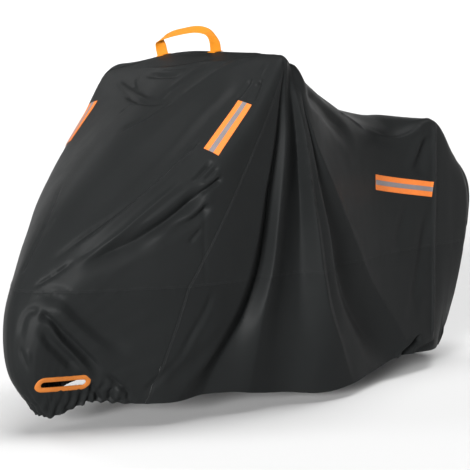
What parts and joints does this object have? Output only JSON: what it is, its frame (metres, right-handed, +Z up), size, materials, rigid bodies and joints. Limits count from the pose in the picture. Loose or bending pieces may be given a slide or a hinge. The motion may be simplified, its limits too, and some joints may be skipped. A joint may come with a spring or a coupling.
{
  "type": "motorcycle cover",
  "caption": "Fitted black cloth cover that drapes over a motorcycle, hollow and open below, with a carry handle, reflective strips and bound lock holes.",
  "frame": {"origin": "the held point, on the underside of the crest, on the cover's middle line over the handlebars", "axes": "+Z up, +X from the nose to the tail, +Y to the machine's right side"},
  "size_m": [2.2308, 0.9065, 1.3088],
  "materials": {
    "black_cloth": "satin-faced woven polyester, black",
    "lower_cloth": "satin-faced woven polyester, black, of the skirt",
    "orange_webbing": "woven polyester webbing, orange",
    "orange_strip": "hi-vis woven strip, orange",
    "grey_tape": "retroreflective tape, grey",
    "orange_binding": "bias binding tape, orange"
  },
  "bodies": {
    "root": {"front_panel_upper": "black_cloth", "front_panel_lower": "lower_cloth", "body_upper": "black_cloth", "body_lower_left": "lower_cloth", "body_lower_right": "lower_cloth", "rear_panel_upper": "black_cloth", "rear_panel_lower": "lower_cloth", "lock_hole_binding_left": "orange_binding", "lock_hole_binding_right": "orange_binding", "strip_front_left": "orange_strip", "tape_front_left": "grey_tape", "strip_rear_left": "orange_strip", "tape_rear_left": "grey_tape", "strip_front_right": "orange_strip", "tape_front_right": "grey_tape", "strip_rear_right": "orange_strip", "tape_rear_right": "grey_tape", "carry_handle": "orange_webbing"}
  },
  "joints": []
}
